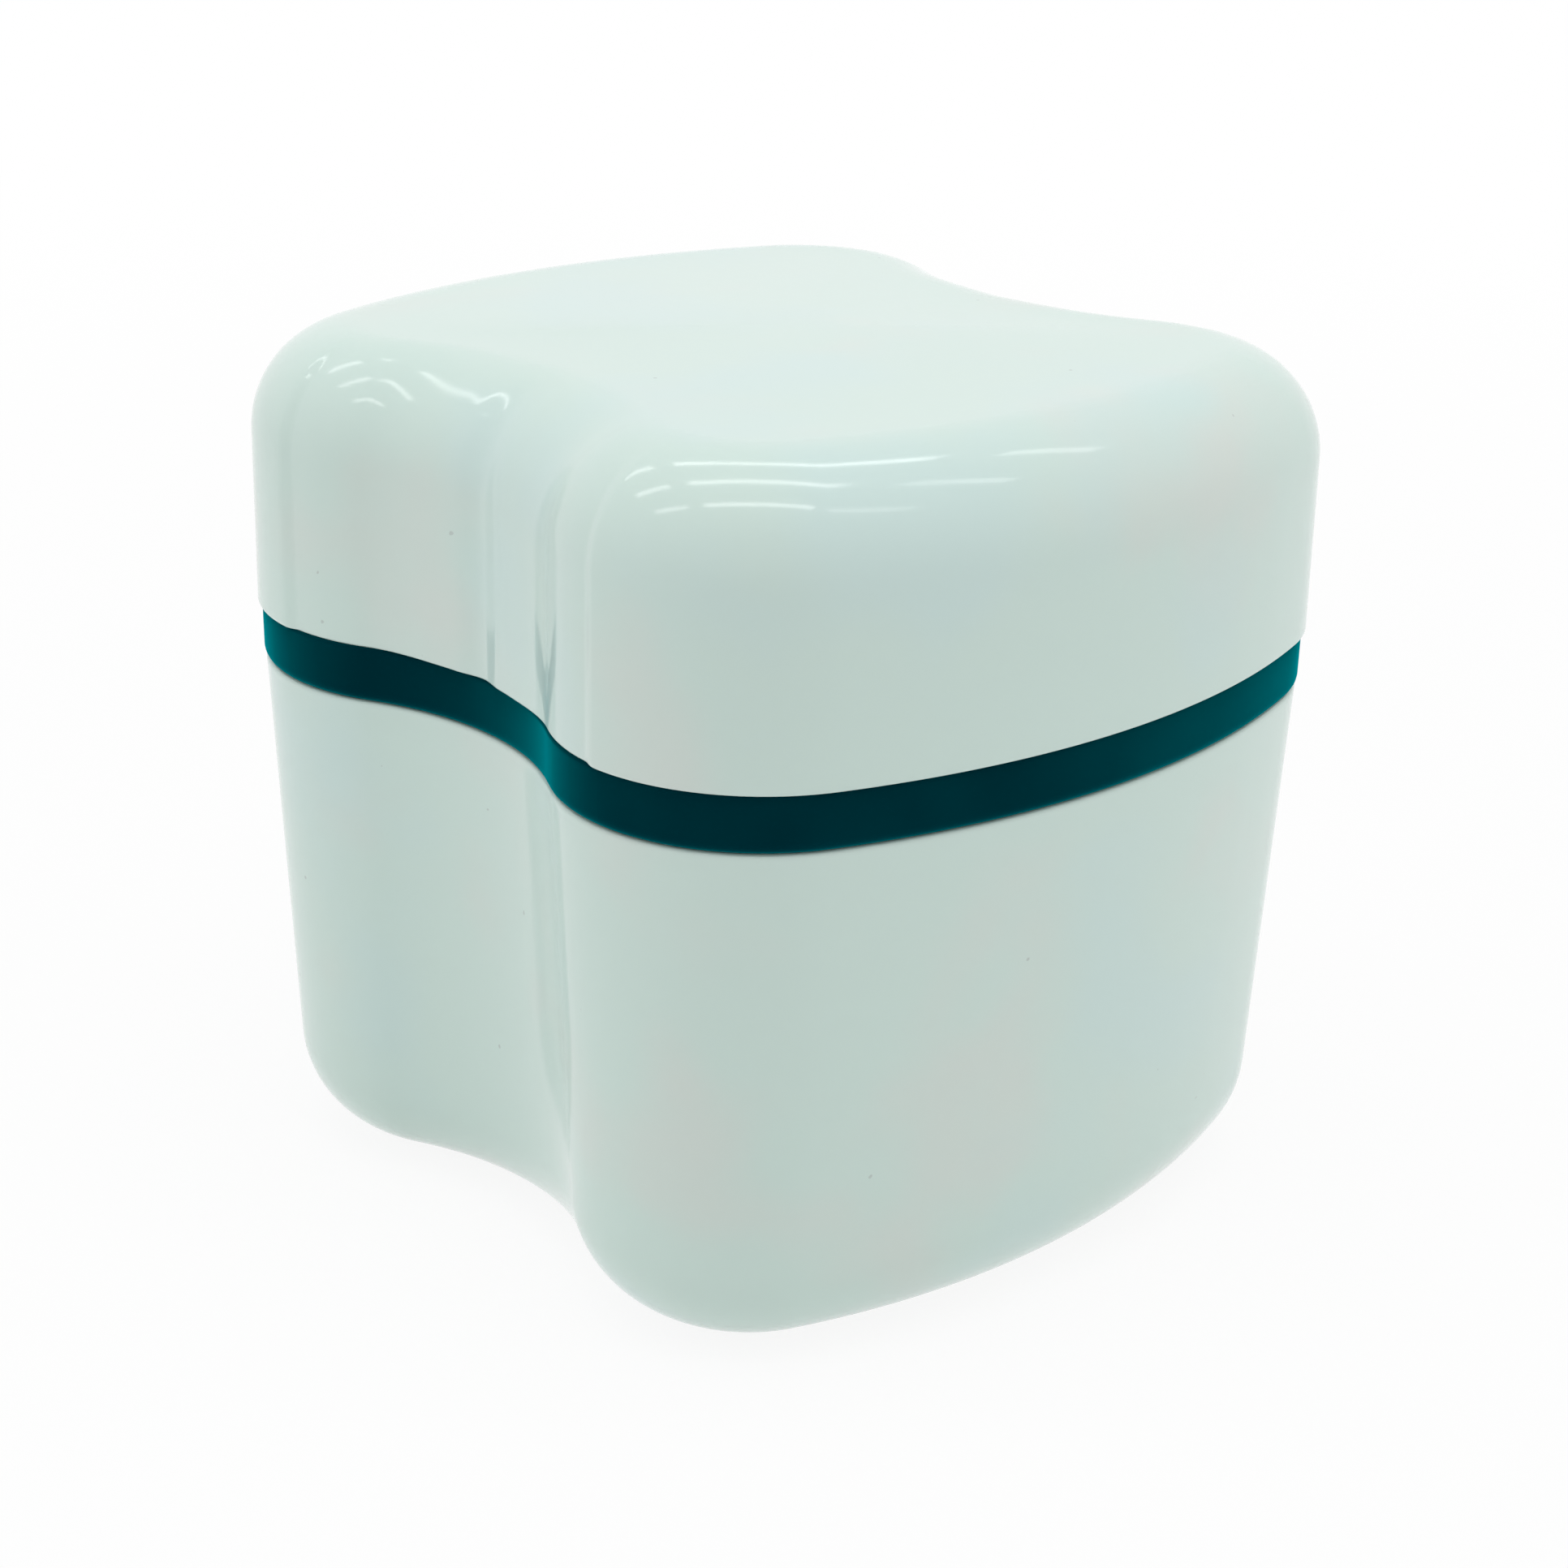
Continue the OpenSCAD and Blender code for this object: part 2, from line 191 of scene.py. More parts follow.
class LidSizes(bpy.types.PropertyGroup):
    """Sizes of the white lid."""

    wall: length("Wall", 1.9 * MM, "Wall thickness")
    lean: angle("Lean", 0.6, "Lean of the walls")
    top_radius: length("Top Radius", 10.0 * MM, "Radius of the rounded edge round the top")
    crown: length("Crown", 0.4 * MM, "Rise of the top in the middle")
    rim_radius: length("Rim Radius", 0.35 * MM, "Rounding of the lower edge")
    panel_depth: length("Panel Depth", 0.45 * MM, "Depth of the panel in each waist side, along its edges")
    panel_swell: length("Panel Swell", 0.6 * MM, "Swell of the panel towards its middle")
    swell_reach: length("Swell Reach", 8.4 * MM, "Distance over which the panel swells")
    riser_width: length("Riser Width", 1.8 * MM, "Width of the soft step at the panel's edges")
    crease_depth: length("Crease Depth", 0.45 * MM, "Depth of the crease down the panel's middle")
    crease_width: length("Crease Width", 6.8 * MM, "Width of the crease")


class BasketSizes(bpy.types.PropertyGroup):
    """Sizes of the teal strainer basket."""

    net_wall: length("Net Wall", 1.5 * MM, "Wall thickness of the net")
    band_inset: length("Band Inset", 0.4 * MM, "From the lid's lower edge in to the visible band")
    band_radius: length("Band Radius", 0.9 * MM, "Rounding of the band's lower edge")
    slip: length("Slip", 0.3 * MM, "Clearance round the collar in the lid, and round the skirt in the tub")
    collar_wall: length("Collar Wall", 1.5 * MM, "Thickness of the collar that the lid slips over")
    collar_radius: length("Collar Radius", 0.5 * MM, "Rounding of the collar's outer top edge")
    skirt_depth: length("Skirt Depth", 7.0 * MM, "Depth of the skirt that centres the basket in the tub")
    net_step: length("Net Step", 0.6 * MM, "Step from the skirt in to the net")
    floor: length("Floor", 1.8 * MM, "Thickness of the floor")
    base_radius: length("Base Radius", 7.0 * MM, "Radius of the rounded lower edge")
    slot_width: length("Slot Width", 3.0 * MM, "Width of a drain slot")
    slot_pitch: length("Slot Pitch", 5.6 * MM, "Distance from one drain slot to the next, about")
    slot_drop: length("Slot Drop", 12.0 * MM, "Plain height of the wall between the tub's rim and the slots")
    slot_foot: length("Slot Foot", 8.0 * MM, "Plain height of the wall between the floor and the slots")
    floor_margin: length("Floor Margin", 2.0 * MM, "Plain width round the floor's slots")
    edge_radius: length("Edge Radius", 0.25 * MM, "Rounding of the slots' edges")
    lug_distance: length("Lug Distance", 12.0 * MM, "From the pivot to the lugs that the bail lies on")
    lug_thickness: length("Lug Thickness", 2.2 * MM, "Thickness of a lug")
    lug_height: length("Lug Height", 6.0 * MM, "Height of a lug at the wall")
    lug_gap: length("Lug Gap", 0.02 * MM, "From the top of a lug up to the bail")


class BailSizes(bpy.types.PropertyGroup):
    """Sizes of the bail and of the bosses that it turns in."""

    arm: length("Arm", 2.2 * MM, "Thickness of an arm")
    height: length("Height", 3.0 * MM, "Height of the bar when it lies flat")
    grip: length("Grip", 4.4 * MM, "Depth of the grip, front to back")
    bend_radius: length("Bend Radius", 13.0 * MM, "Outside radius of the two bends")
    edge_radius: length("Edge Radius", 0.8 * MM, "Rounding of the bar's edges")
    eye_step: length("Eye Step", 0.2 * MM, "Step from the arm's faces out to the eye's, on both sides")
    side_play: length("Side Play", 0.3 * MM, "Gap between the bail's eye and the boss")
    pin_reach: length("Pin Reach", 2.6 * MM, "Length of pin inside its bore")
    pin_radius: length("Pin Radius", 1.5 * MM, "Radius of the two pins")
    pin_clearance: length("Pin Clearance", 0.05 * MM, "Radial clearance of a pin in its bore")
    bore_gap: length("Bore Gap", 0.3 * MM, "Gap beyond the pin's end, in its bore")
    boss_radius: length("Boss Radius", 3.2 * MM, "Radius of the boss round each bore")
    boss_height: length("Boss Height", 0.8 * MM, "Height of the boss over the net's wall")
    small_radius: length("Small Radius", 0.3 * MM, "Rounding of eyes, pins and bosses")


class Fineness(bpy.types.PropertyGroup):
    """Steps along the arcs of a quarter outline and round the edges."""

    face: steps("Face", 24, "Steps along half a face")
    lobe: steps("Lobe", 84, "Steps round a lobe")
    waist: steps("Waist", 40, "Steps along half a waist")
    edge: steps("Edge", 24, "Steps round the large edges")
    small: steps("Small", 5, "Steps round the small edges")
    slot: steps("Slot", 8, "Steps across a drain slot")


class Finishes(bpy.types.PropertyGroup):
    """Colours and finishes of the two plastics."""

    white: colour("White", (0.685, 0.84, 0.78), "White plastic")
    white_warm: colour("Warm White", (0.73, 0.81, 0.76), "Warm clouding of the white plastic")
    white_cool: colour("Cool White", (0.67, 0.835, 0.80), "Cool clouding of the white plastic")
    teal: colour("Teal", (0.0, 0.020, 0.030), "Teal plastic")
    teal_glow: colour("Teal Glow", (0.0, 0.52, 0.59), "Sheen of the teal plastic, seen at a slant")
    teal_gloss: colour("Teal Gloss", (0.2, 0.75, 0.85), "Tint of the polished teal plastic's gloss")
    speck: colour("Speck", (0.3, 0.3, 0.3), "Specks in the white plastic")
    speck_share: amount("Speck Share", 0.3, "How much a speck covers the white")
    cloud_share: amount("Cloud Share", 0.02, "How much the teal plastic's clouds lighten it")
    polish: amount("Polish", 0.10, "Roughness of the polished white plastic")
    teal_polish: amount("Teal Polish", 0.16, "Roughness of the polished teal plastic")
    band_matt: amount("Band Matt", 0.31, "Roughness of the finely textured band")
    teal_shine: amount("Teal Shine", 0.2, "Specular level of the polished teal plastic")
    sheen_spread: amount("Sheen Spread", 0.4, "Roughness of the teal plastic's sheen")
    milkiness: amount("Milkiness", 0.1, "Share of the light that spreads inside the white plastic")
    milk_depth: length("Milk Depth", 1.5 * MM, "How far light spreads inside the white plastic")
    milk_colours: colour("Milk Colours", (1.0, 1.0, 0.9), "Shares of that depth for red, green and blue")


class StudioSizes(bpy.types.PropertyGroup):
    """Camera and lamps."""

    azimuth: angle("Azimuth", -42.35, "Turn of the camera round the case, from the front face")
    elevation: angle("Elevation", 21.84, "Height of the camera over the horizon, as an angle")
    roll: angle("Roll", 1.238, "Roll of the camera")
    distance: length("Distance", 278.95 * MM, "From the camera to the middle of the view")
    aim_height: length("Aim Height", 37.66 * MM, "Height of the middle of the view")
    aim_shift: length("Aim Shift", 0.749 * MM, "Shift of the camera to the right")
    lens: FloatProperty(name="Lens", description="Focal length in millimetres", default=64.48, min=1.0,
                        unit="CAMERA")
    floor_radius: length("Floor Radius", 3.0, "Radius of the floor")
    sky: amount("Sky", 0.32, "Level of the sky's light")
    ceiling: length("Ceiling", 1.4, "From the lid up to the tube lamps")
    tube_width: length("Tube Width", 0.1, "Width of a tube lamp")
    row_pitch: length("Row Pitch", 0.62, "From one row of tube lamps to the next")
    row_shift: length("Row Shift", 0.08, "From the case on to the middle row, away from the camera")


class CaseSettings(bpy.types.PropertyGroup):
    """All sizes, colours and settings of the denture case."""

    outline: PointerProperty(type=OutlineSizes)
    tub: PointerProperty(type=TubSizes)
    lid: PointerProperty(type=LidSizes)
    basket: PointerProperty(type=BasketSizes)
    bail: PointerProperty(type=BailSizes)
    fineness: PointerProperty(type=Fineness)
    finishes: PointerProperty(type=Finishes)
    studio: PointerProperty(type=StudioSizes)


# ---- plan outline


class Outline:
    """Arcs of the plan outline: a face, a lobe and a waist in each quarter, tangent to each other."""

    def __init__(self, sizes):
        self.front = -sizes.depth / 2
        self.lobe_radius = sizes.lobe_radius
        self.face_radius = sizes.face_radius
        self.face_centre = sizes.face_radius - sizes.depth / 2
        self.lobe_x = sizes.width / 2 - sizes.lobe_radius
        reach = sizes.face_radius - sizes.lobe_radius
        self.lobe_y = math.sqrt(reach ** 2 - self.lobe_x ** 2) - self.face_centre
        self.lobe_start = math.asin(self.lobe_x / reach)
        # The waist's arc goes through the middle of the waist and touches the lobe's circle
        gap = sizes.waist / 2 - self.lobe_x
        dip = self.lobe_radius - gap
        self.waist_radius = (gap ** 2 + self.lobe_y ** 2 - self.lobe_radius ** 2) / (2 * dip)
        self.waist_centre = sizes.waist / 2 + self.waist_radius
        self.waist_turn = math.atan(self.lobe_y / (self.waist_centre - self.lobe_x))
        self.flank_y = self.waist_radius * math.sin(self.waist_turn)
        self.half_waist = sizes.waist / 2

    def arcs(self):
        """Centre, turn and radius of a quarter's face, lobe and waist, and the sign that an inset takes."""
        return [
            (Vector((0, self.face_centre, 0)), self.lobe_start, self.face_radius, -1),
            (Vector((self.lobe_x, -self.lobe_y, 0)), math.pi / 2 + self.waist_turn - self.lobe_start,
             self.lobe_radius, -1),
            (Vector((self.waist_centre, 0, 0)), -self.waist_turn, self.waist_radius, 1),
        ]

    def side_normal(self, point):
        """Outward direction of a waist side's wall at a point on or near it."""
        x, y = abs(point.x), abs(point.y)
        lobe = Vector((x - self.lobe_x, y - self.lobe_y, 0))
        if math.atan2(-lobe.y, lobe.x) > self.waist_turn:
            flat = Vector((self.waist_centre - x, -y, 0))
        else:
            flat = lobe
        flat.normalize()
        return Vector((math.copysign(flat.x, point.x), math.copysign(1, point.y) * flat.y, 0))

    def side_x(self, y, inset):
        """Distance of a waist side's wall from the middle, at a distance y from the waist's own middle."""
        waist = self.waist_radius + inset
        if y < waist * math.sin(self.waist_turn):
            return self.waist_centre - math.sqrt(waist ** 2 - y ** 2)
        return self.lobe_x + math.sqrt((self.lobe_radius - inset) ** 2 - (self.lobe_y - y) ** 2)


def ease(share):
    """A soft step from 0 to 1."""
    share = min(max(share, 0), 1)
    return share * share * (3 - 2 * share)


# ---- mesh tools


def add_object(name, data):
    """A new object in the scene."""
    thing = bpy.data.objects.new(name, data)
    bpy.context.scene.collection.objects.link(thing)
    return thing


def new_verts(made):
    """The vertices among the parts that an operator made."""
    return [part for part in made if isinstance(part, bmesh.types.BMVert)]


def new_edges(made):
    """The edges among the parts that an operator made."""
    return [part for part in made if isinstance(part, bmesh.types.BMEdge)]


def bevel(bm, edges, radius, count):
    """Round edges with a number of steps."""
    bmesh.ops.bevel(bm, geom=edges, offset=radius, offset_type="OFFSET", segments=count, profile=0.5,
                    affect="EDGES", clamp_overlap=True, material=-1)


def draw_profile(bm, outline, corners, hold):
    """Draw a chain of points in the plane x = 0 and return its stretches, one list for each corner.

    A corner is (inset, height, rounding radius, steps). A straight has a point at the distance hold from
    each rounding, so that the shading of the rounding doesn't spread over it.
    """
    goals = [Vector((0, outline.front + inset, height)) for inset, height, _, _ in corners]
    last = bm.verts.new(goals[0])
    stretches = [[last]]

    def go(place):
        nonlocal last
        if (place - last.co).length > TOUCH:
            last = bmesh.ops.extrude_vert_indiv(bm, verts=[last])["verts"][0]
            last.co = place
        stretches[-1].append(last)

    def go_straight(place, after_round, before_round):
        way = place - last.co
        held = way.normalized() * hold
        if way.length > HOLD_ROOM * hold and after_round:
            go(last.co + held)
        if way.length > HOLD_ROOM * hold and before_round:
            go(place - held)
        go(place)

    for index in range(1, len(corners) - 1):
        here = goals[index]
        radius, count = corners[index][2:]
        coming, leaving = (here - goals[index - 1]).normalized(), (goals[index + 1] - here).normalized()
        turn = math.atan2(coming.cross(leaving).x, coming.dot(leaving))
        tangent = radius * math.tan(abs(turn) / 2)
        go_straight(here - coming * tangent, corners[index - 1][2], radius)
        stretches.append([last])
        side = Vector((math.copysign(1, turn), 0, 0)).cross(coming)
        centre = last.co + side * radius
        for step in range(count):
            go(centre + Matrix.Rotation(turn * (step + 1) / count, 3, "X") @ (-side * radius))
    go_straight(goals[-1], corners[-2][2], False)
    return stretches


def lean_wall(verts, lean, level):
    """Lean walls drawn upright, by moving each point inwards with its height's distance from a level."""
    for vert in verts:
        vert.co.y += math.tan(lean) * abs(vert.co.z - level)


def spin_chain(bm, chain, centre, turn, count):
    """Sweep a chain of points and edges about a vertical axis and return the chain at its end."""
    return bmesh.ops.spin(bm, geom=chain, cent=centre, axis=(0, 0, 1), angle=turn, steps=count)["geom_last"]


def mirror_quarter(bm):
    """Mirror a quarter of a shell into the whole."""
    for axis in "XY":
        whole = bm.verts[:] + bm.edges[:] + bm.faces[:]
        bmesh.ops.mirror(bm, geom=whole, matrix=Matrix.Identity(4), merge_dist=TOUCH, axis=axis)


def sweep_outline(bm, outline, fineness):
    """Sweep the profile in a mesh round the plan outline."""
    chain = bm.verts[:] + bm.edges[:]
    counts = (fineness.face, fineness.lobe, fineness.waist)
    for (centre, turn, _, _), count in zip(outline.arcs(), counts):
        chain = spin_chain(bm, chain, centre, turn, count)
    mirror_quarter(bm)


def open_ring(bm, height):
    """The open edges at a height."""
    return [
        edge for edge in bm.edges
        if edge.is_boundary and all(abs(vert.co.z - height) < TOUCH for vert in edge.verts)
    ]


def close_ring(bm, edges, rises):
    """Close a ring of edges with rings drawn in towards the middle, each (share, rise), and a last point."""
    height = edges[0].verts[0].co.z
    before = 1.0
    for share, rise in rises:
        made = bmesh.ops.extrude_edge_only(bm, edges=edges)["geom"]
        verts = new_verts(made)
        inner = set(verts)
        edges = [edge for edge in new_edges(made) if inner.issuperset(edge.verts)]
        bmesh.ops.scale(bm, verts=verts, vec=(share / before, share / before, 1))
        for vert in verts:
            vert.co.z = height + rise
        before = share
    bmesh.ops.pointmerge(bm, verts=verts, merge_co=(0, 0, height + rises[-1][1]))


def close_flat(bm, height):
    """Close the open ring at a height with a flat cap."""
    shares = [1 - step / CAP_RINGS for step in range(1, CAP_RINGS)] + [CAP_LAST]
    close_ring(bm, open_ring(bm, height), [(share, 0.0) for share in shares])


def finish_piece(bm, name, body, materials, replaced):
    """Turn a mesh into a smooth piece that rides on its body in place of its CAD node."""
    bmesh.ops.recalc_face_normals(bm, faces=bm.faces[:])
    mesh = bpy.data.meshes.new(name)
    bm.to_mesh(mesh)
    bm.free()
    mesh.shade_smooth()
    mesh.set_sharp_from_angle(angle=SMOOTH_TURN)
    piece = add_object(name, mesh)
    for material in materials:
        mesh.materials.append(material)
    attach(piece, body)
    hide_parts(replaced)


# ---- materials


def new_material(name):
    """A material, its node tree and its shader."""
    material = bpy.data.materials.new(name)
    material.use_nodes = True
    return material, material.node_tree, material.node_tree.nodes["Principled BSDF"]


def feed(tree, sockets, sources):
    """Link input sockets to outputs, or set them to plain values."""
    for key, source in sources.items():
        if isinstance(source, bpy.types.NodeSocket):
            tree.links.new(source, sockets[key])
        else:
            sockets[key].default_value = source


def add_node(tree, kind, sources, **settings):
    """A node with its own settings and its input sockets fed."""
    node = tree.nodes.new(kind)
    for name, value in settings.items():
        setattr(node, name, value)
    feed(tree, node.inputs, sources)
    return node


def add_noise(tree, scale, detail, shift=None):
    """A noise texture on the piece's own coordinates."""
    source = add_node(tree, "ShaderNodeTexCoord", {}).outputs["Object"]
    if shift:
        source = add_node(tree, "ShaderNodeMapping", {"Vector": source, "Location": shift}).outputs["Vector"]
    sources = {"Vector": source, "Scale": scale, "Detail": detail}
    return add_node(tree, "ShaderNodeTexNoise", sources).outputs["Fac"]


def add_range(tree, source, from_low, from_high, to_low, to_high):
    """Map a value softly from one range to another."""
    sources = {"Value": source, "From Min": from_low, "From Max": from_high, "To Min": to_low,
               "To Max": to_high}
    return add_node(tree, "ShaderNodeMapRange", sources, interpolation_type="SMOOTHSTEP").outputs["Result"]


def opaque(tint):
    """A colour with full alpha, as the colour sockets take it."""
    return (*tint, 1)


def add_mix(tree, factor, first, second):
    """Mix two colours by a factor from 0 to 1."""
    node = add_node(tree, "ShaderNodeMix", {}, data_type="RGBA")
    sockets = {socket.name: socket for socket in node.inputs if socket.enabled}
    feed(tree, sockets, {"Factor": factor, "A": first, "B": second})
    return next(socket for socket in node.outputs if socket.enabled)


def add_pattern(tree, name, low, high):
    """One of the patterns, as a value that goes from low to high."""
    pattern = PATTERNS[name]
    noise = add_noise(tree, pattern["scale"], pattern["detail"], pattern["shift"])
    return add_range(tree, noise, *pattern["span"], low, high)


def add_relief(tree, layers):
    """A relief of stacked bumps, each (scale, detail, depth)."""
    below = {}
    for scale, detail, depth in layers:
        sources = {"Distance": depth, "Height": add_noise(tree, scale, detail), **below}
        below = {"Normal": add_node(tree, "ShaderNodeBump", sources).outputs["Normal"]}
    return below["Normal"]


def white_plastic(name, finishes):
    """Polished white moulding with soft warm and cool clouds, faint waves and a few moulded-in specks."""
    material, tree, shader = new_material(name)
    warm, cool = (add_pattern(tree, clouds, 0, 1) for clouds in ("warm clouds", "cool clouds"))
    base = add_mix(tree, warm, opaque(finishes.white), opaque(finishes.white_warm))
    base = add_mix(tree, cool, base, opaque(finishes.white_cool))
    specks = add_pattern(tree, "specks", 0, finishes.speck_share)
    feed(tree, shader.inputs, {
        "Base Color": add_mix(tree, specks, base, opaque(finishes.speck)),
        "Roughness": add_pattern(tree, "smudges", *[share * finishes.polish for share in WHITE_SMUDGE]),
        "Normal": add_relief(tree, WHITE_RELIEF),
        "IOR": PLASTIC_IOR,
        "Subsurface Weight": finishes.milkiness,
        "Subsurface Radius": finishes.milk_colours,
        "Subsurface Scale": finishes.milk_depth,
    })
    return material


def teal_plastic(name, finishes, shine, polish):
    """Dark teal moulding with fine mould grain, and a sheen where the eye meets it at a slant.

    Shine is its specular level, and polish its roughness.
    """
    material, tree, shader = new_material(name)
    clouds = add_pattern(tree, "teal clouds", 0, finishes.cloud_share)
    feed(tree, shader.inputs, {
        "Base Color": add_mix(tree, clouds, opaque(finishes.teal), opaque(finishes.teal_glow)),
        "Sheen Weight": 1,
        "Sheen Roughness": finishes.sheen_spread,
        "Sheen Tint": opaque(finishes.teal_glow),
        "Roughness": add_pattern(tree, "teal smudges", *[share * polish for share in TEAL_SMUDGE]),
        "Normal": add_relief(tree, TEAL_RELIEF),
        "IOR": PLASTIC_IOR,
        "Specular IOR Level": shine,
        "Specular Tint": opaque(finishes.teal_gloss),
    })
    return material


def get_white(finishes):
    """The white plastic, made once and shared by the tub and the lid."""
    name = "polished_white"
    return bpy.data.materials.get(name) or white_plastic(name, finishes)


def get_teal(finishes):
    """The polished teal plastic, made once and shared by the basket and the bail."""
    name = "polished_teal"
    made = bpy.data.materials.get(name)
    return made or teal_plastic(name, finishes, finishes.teal_shine, finishes.teal_polish)


# ---- tub and lid


def build_tub(settings):
    """The white tub: a leaning wall with a rounded base, a foot ring and a soft rim."""
    sizes, fineness = settings.tub, settings.fineness
    outline = Outline(settings.outline)
    inside = sizes.inset + sizes.wall
    foot = sizes.inset + sizes.base_radius + sizes.foot
    cup = sizes.base_radius - sizes.wall
    small, edge = fineness.small, fineness.edge
    bm = bmesh.new()
    draw_profile(bm, outline, [
        (foot + 2 * sizes.recess, sizes.recess, 0, 0),
        (foot + sizes.recess, sizes.recess, sizes.recess / 2, small),
        (foot, 0, sizes.recess / 2, small),
        (sizes.inset, 0, sizes.base_radius, edge),
        (sizes.inset, sizes.height, sizes.rim_radius, small),
        (inside, sizes.height, sizes.rim_radius, small),
        (inside, sizes.floor, cup, edge),
        (inside + cup + 2 * sizes.recess, sizes.floor, 0, 0),
    ], sizes.rim_radius)
    lean_wall(bm.verts, sizes.lean, sizes.height)
    sweep_outline(bm, outline, fineness)
    close_flat(bm, sizes.recess)
    close_flat(bm, sizes.floor)
    return bm


def panel_inset(sizes, outline, y):
    """How far the lid's panel lies behind the plain wall at a distance y from the waist's middle."""
    rise = ease((outline.lobe_y + sizes.riser_width / 2 - y) / sizes.riser_width)
    swell = sizes.panel_swell * ease((outline.flank_y - y) / sizes.swell_reach)
    crease = sizes.crease_depth * (1 - ease(2 * y / sizes.crease_width))
    return sizes.panel_depth * rise - swell + crease


def build_lid(settings):
    """The white lid: a crowned top, a large round edge, and a soft panel in each waist side."""
    sizes, fineness = settings.lid, settings.fineness
    outline = Outline(settings.outline)
    low = LID_LOW.z
    shoulder = LID_HIGH.z - sizes.crown
    ceiling = shoulder - sizes.wall
    dome = sizes.top_radius - sizes.wall
    # The profile runs on this far over the flat top and the flat ceiling
    flat = sizes.wall
    bm = bmesh.new()
    panel = bm.verts.layers.float.new("panel")
    stretches = draw_profile(bm, outline, [
        (sizes.wall + dome + flat, ceiling, 0, 0),
        (sizes.wall, ceiling, dome, fineness.edge),
        (sizes.wall, low, sizes.rim_radius, fineness.small),
        (0, low, sizes.rim_radius, fineness.small),
        (0, shoulder, sizes.top_radius, fineness.edge),
        (sizes.top_radius + flat, shoulder, 0, 0),
    ], sizes.rim_radius)
    edge_start = shoulder - sizes.top_radius
    for vert in [*stretches[3], *stretches[4]]:
        climb = min(max((vert.co.z - edge_start) / sizes.top_radius, 0), 1)
        vert[panel] = 1 - (math.asin(climb) / (math.pi / 2)) ** PANEL_FADE
    lean_wall(bm.verts, sizes.lean, low)
    sweep_outline(bm, outline, fineness)
    for vert in bm.verts:
        on_side = abs(vert.co.x) > outline.lobe_x and abs(vert.co.y) < outline.lobe_y + sizes.riser_width
        if vert[panel] and on_side:
            step = vert[panel] * panel_inset(sizes, outline, abs(vert.co.y))
            vert.co -= outline.side_normal(vert.co) * step
    shares = [1 - step / CROWN_RINGS for step in range(1, CROWN_RINGS)] + [CROWN_LAST]
    rises = [(share, sizes.crown * (1 - share ** 2) ** 2) for share in shares]
    close_ring(bm, open_ring(bm, shoulder), rises)
    close_flat(bm, ceiling)
    return bm


# ---- basket


def net_insets(settings):
    """Insets, at the tub's rim, of the skirt's outside, the net's outside and the net's inside."""
    tub, basket = settings.tub, settings.basket
    skirt = tub.inset + tub.wall + basket.slip
    net = skirt + basket.net_step
    return skirt, net, net + basket.net_wall


def sweep_net(bm, outline, sizes, fineness, rows, inset):
    """Sweep the basket's profile round a quarter, with a whole number of drain slots along each arc.

    The rows are the heights at which the slots' straight sides end. The faces of slot n carry n in the layer
    slot.
    """
    slot = bm.faces.layers.int.new("slot")
    arch = bm.verts.layers.float.new("arch")
    chain = bm.verts[:] + bm.edges[:]
    radius = sizes.slot_width / 2
    stops = [-math.cos(math.pi * step / fineness.slot) for step in range(fineness.slot + 1)]
    number = 0

    def go_round(centre, turn, index, rise):
        nonlocal chain
        chain = spin_chain(bm, chain, centre, turn, 1)
        for part in chain:
            if isinstance(part, bmesh.types.BMEdge):
                part.link_faces[0][slot] = index
            elif isinstance(part, bmesh.types.BMVert):
                part[arch] = rise

    def go_along_rib(centre, turn):
        for _ in range(RIB_STEPS):
            go_round(centre, turn / RIB_STEPS, 0, 0)

    for centre, turn, arc_radius, sign in outline.arcs():
        arc_radius += sign * inset
        count = max(1, round(abs(turn) * arc_radius / sizes.slot_pitch))
        half = math.copysign(radius / arc_radius, turn)
        rib = turn / (2 * count) - half
        for _ in range(count):
            number += 1
            go_along_rib(centre, rib)
            for before, after in zip(stops, stops[1:]):
                rise = radius * math.sqrt(max(1 - after * after, 0))
                go_round(centre, half * (after - before), number, rise)
            go_along_rib(centre, rib)
    low, high = rows
    for edge in bm.edges:
        under, over = sorted(edge.verts, key=lambda vert: vert.co.z)
        if abs(under.co.z - low) < TOUCH and abs(over.co.z - high) < TOUCH:
            rise = (over.co - under.co) * over[arch] / (high - low)
            over.co += rise
            under.co -= rise
    rims = []
    for index in range(1, number + 1):
        faces = [
            face for face in bm.faces
            if face[slot] == index and low < face.calc_center_median().z < high
        ]
        hole = set(faces)
        rim = [
            edge for face in faces for edge in face.edges
            if len(hole.intersection(edge.link_faces)) == 1
        ]
        bmesh.ops.delete(bm, geom=faces, context="FACES")
        bmesh.ops.bridge_loops(bm, edges=rim)
        rims += rim
    bevel(bm, rims, sizes.edge_radius, CRISP_STEPS)


def add_slot_loop(bm, x, near, far, radius, z):
    """Draw the plan of a floor slot, and return its loop of edges."""
    circle = bmesh.ops.create_circle(bm, cap_ends=False, radius=radius, segments=SLOT_SIDES)["verts"]
    middle = (near + far) / 2
    stretch = abs(far - near) / 2 - radius
    for vert in circle:
        vert.co = Vector((x + vert.co.x, middle + vert.co.y + math.copysign(stretch, vert.co.y), z))
    return list(dict.fromkeys(edge for vert in circle for edge in vert.link_edges))


